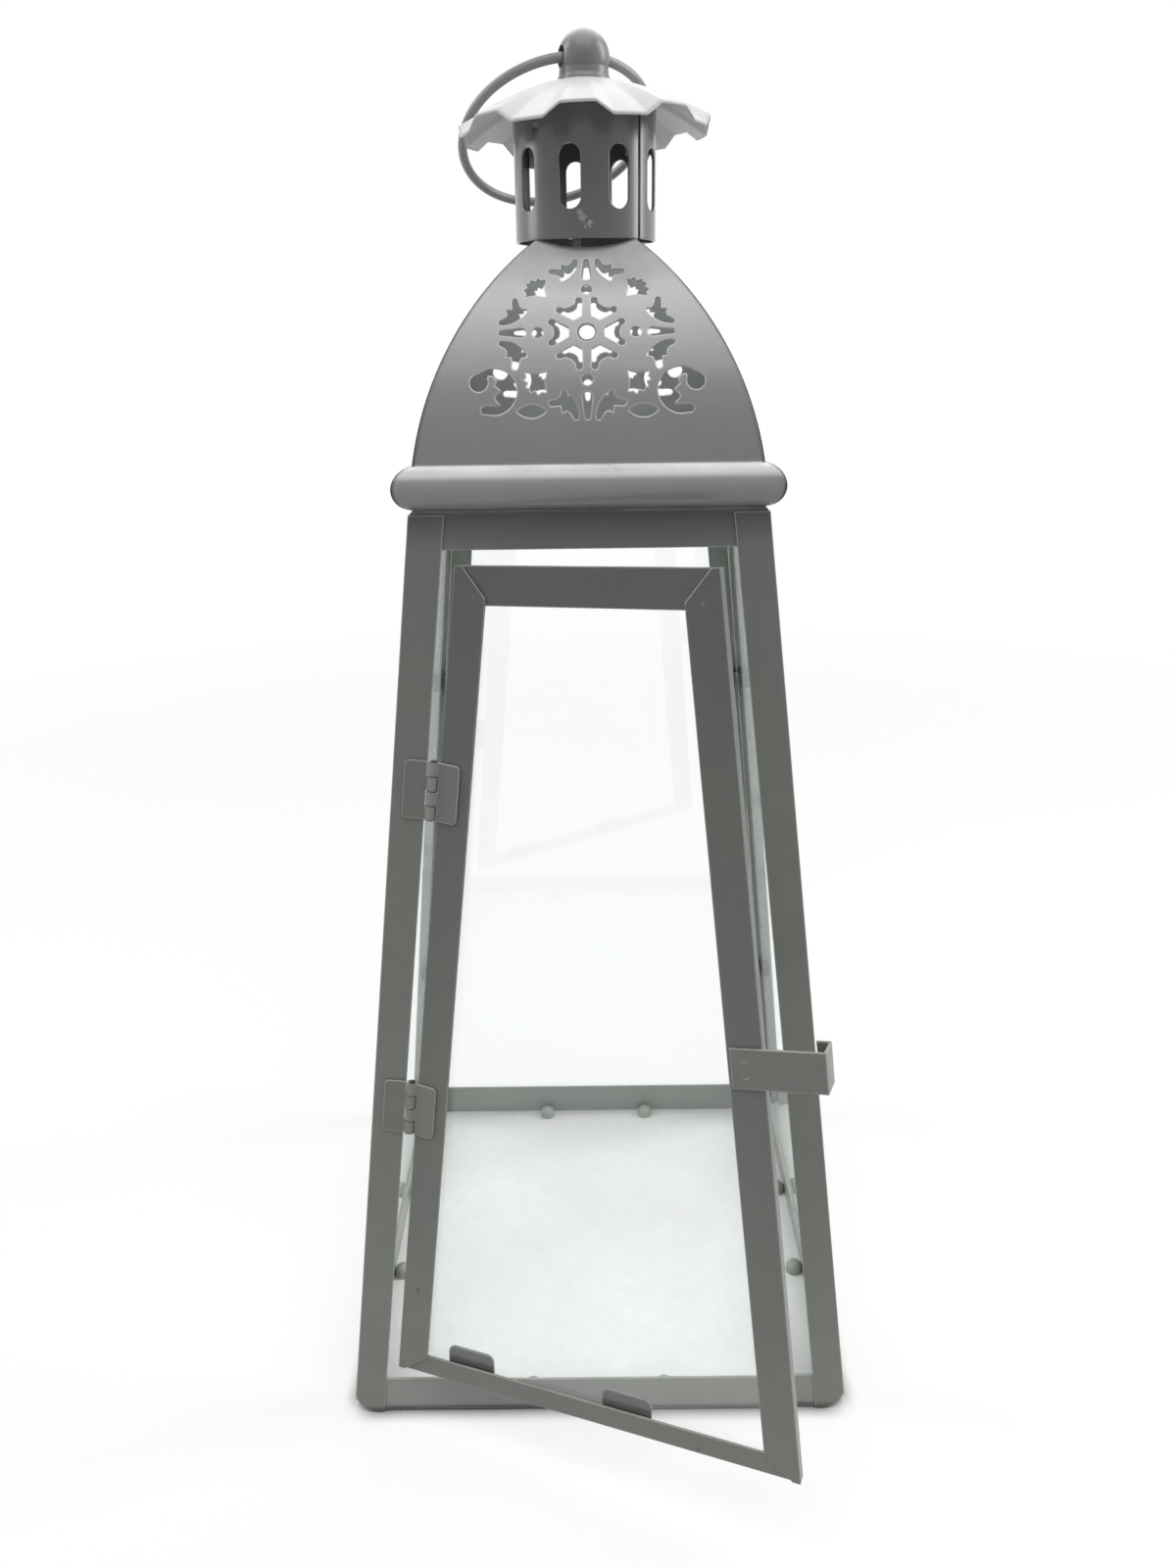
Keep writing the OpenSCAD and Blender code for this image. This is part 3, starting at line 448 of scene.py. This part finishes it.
FLOOR_RADIUS = 1.6
FLOOR_FADE = (0.35, 1.1)      # distances between which the seen floor fades out
FLOOR_DROP = 0.0006           # gap under the lantern
FLOOR_LIT = ((0.60, 0.60, 0.598, 1.0), (0.64, 0.64, 0.637, 1.0))
FLOOR_SEEN = (0.95, 0.95, 0.95, 1.0)
FLOOR_LIFT = 0.70             # share of plain white in the seen floor
CONTACT = 0.007               # reach of the painted contact shadow where the lantern stands

WORLD_SOFT = ((0.96, 0.98, 1.0, 1.0), 0.28)
WORLD_SEEN = ((1.0, 1.0, 1.0, 1.0), 1.0)

LAMP_AIM = (0.0, 0.0, 0.3)
LAMPS = [
    # name, place, (width, height), watts
    ("key_left", (-0.95, 0.10, 0.85), (0.4, 0.9), 5.5),
    ("key_right", (0.95, 0.10, 0.80), (0.4, 0.9), 8.0),
    ("key_top", (0.0, -0.45, 1.25), (1.1, 0.7), 6.2),
    ("key_back", (0.0, 0.75, 1.15), (1.0, 0.5), 1.6),
]

# Solved from the lantern's straight edges in the photograph
CAMERA_PLACE = (0.00050, -0.39504, 0.35742)
CAMERA_TILT = math.radians(21.194)
CAMERA_YAW = math.radians(0.309)
CAMERA_ROLL = math.radians(-0.790)
FOCAL_PIXELS = 1196.85
PHOTO_HEIGHT = 1600.0         # pixels on the longer side, which the sensor's width spans
SENSOR = 36.0                 # millimetres


def link(name, data):
    obj = bpy.data.objects.new(name, data)
    bpy.context.collection.objects.link(obj)
    return obj


def floor():
    """Pale floor that fades out round the lantern and keeps its shadow."""
    mesh = bpy.data.meshes.new("floor")
    b = bmesh.new()
    bmesh.ops.create_circle(b, cap_ends=True, segments=96, radius=FLOOR_RADIUS)
    b.to_mesh(mesh)
    b.free()
    obj = link("floor", mesh)
    obj.location = (0, 0, -FLOOR_DROP)

    t = Tree(bpy.data.materials.new("floor"))
    place = t.place()
    seen = t.seen()
    shade = t.mix(seen, t.mix(t.noise(place, "ground"), *FLOOR_LIT), FLOOR_SEEN)
    body = t.add("ShaderNodeBsdfPrincipled", {"Base Color": shade, "Roughness": 0.75})
    # Painted contact shadow: the floor's white glow dims where the lantern is near
    contact_shade = t.add("ShaderNodeAmbientOcclusion", {"Distance": CONTACT}, samples=16).outputs["AO"]
    lift = t.add("ShaderNodeEmission", {
        "Color": (1.0, 1.0, 1.0, 1.0), "Strength": t.spread(contact_shade, 0.5, 0.95)})
    lit = t.mix_shaders(t.math("MULTIPLY", seen, FLOOR_LIFT), body, lift)
    faded = t.math("MULTIPLY", t.spread(t.measure("LENGTH", place), *FLOOR_FADE), seen)
    clear = t.add("ShaderNodeBsdfTransparent")
    obj.data.materials.append(t.output(t.mix_shaders(faded, lit, clear)))


def world():
    """Soft light all round, and a white background where the world itself is seen."""
    bpy.context.scene.world = bpy.data.worlds.new("studio")
    t = Tree(bpy.context.scene.world)
    soft, white = (t.add("ShaderNodeBackground", {"Color": color, "Strength": strength})
                   for color, strength in (WORLD_SOFT, WORLD_SEEN))
    t.output(t.mix_shaders(t.seen(), soft, white), "ShaderNodeOutputWorld")


def area(name, place, size, power):
    lamp = bpy.data.lights.new(name, "AREA")
    lamp.shape = "RECTANGLE"
    lamp.size, lamp.size_y = size
    lamp.energy = power
    obj = link(name, lamp)
    obj.location = place
    obj.rotation_euler = (Vector(LAMP_AIM) - Vector(place)).to_track_quat("-Z", "Y").to_euler()


def camera():
    """The photograph's camera, which looks along +y, down by the tilt."""
    level = math.cos(CAMERA_TILT)
    forward = Vector((-math.sin(CAMERA_YAW) * level, math.cos(CAMERA_YAW) * level,
                      -math.sin(CAMERA_TILT)))
    right_0 = Vector((math.cos(CAMERA_YAW), math.sin(CAMERA_YAW), 0.0))
    up_0 = right_0.cross(forward)
    right = math.cos(CAMERA_ROLL) * right_0 + math.sin(CAMERA_ROLL) * up_0
    up = math.cos(CAMERA_ROLL) * up_0 - math.sin(CAMERA_ROLL) * right_0
    lens = bpy.data.cameras.new("camera")
    lens.sensor_fit = "AUTO"
    lens.sensor_width = SENSOR
    lens.lens = FOCAL_PIXELS * SENSOR / PHOTO_HEIGHT
    lens.clip_start = 0.01
    obj = link("camera", lens)
    turn = Matrix((right, up, -forward)).transposed().to_4x4()
    obj.matrix_world = Matrix.Translation(CAMERA_PLACE) @ turn
    bpy.context.scene.camera = obj


floor()
world()
for lamp in LAMPS:
    area(*lamp)
camera()

bpy.context.scene.view_settings.view_transform = "Standard"
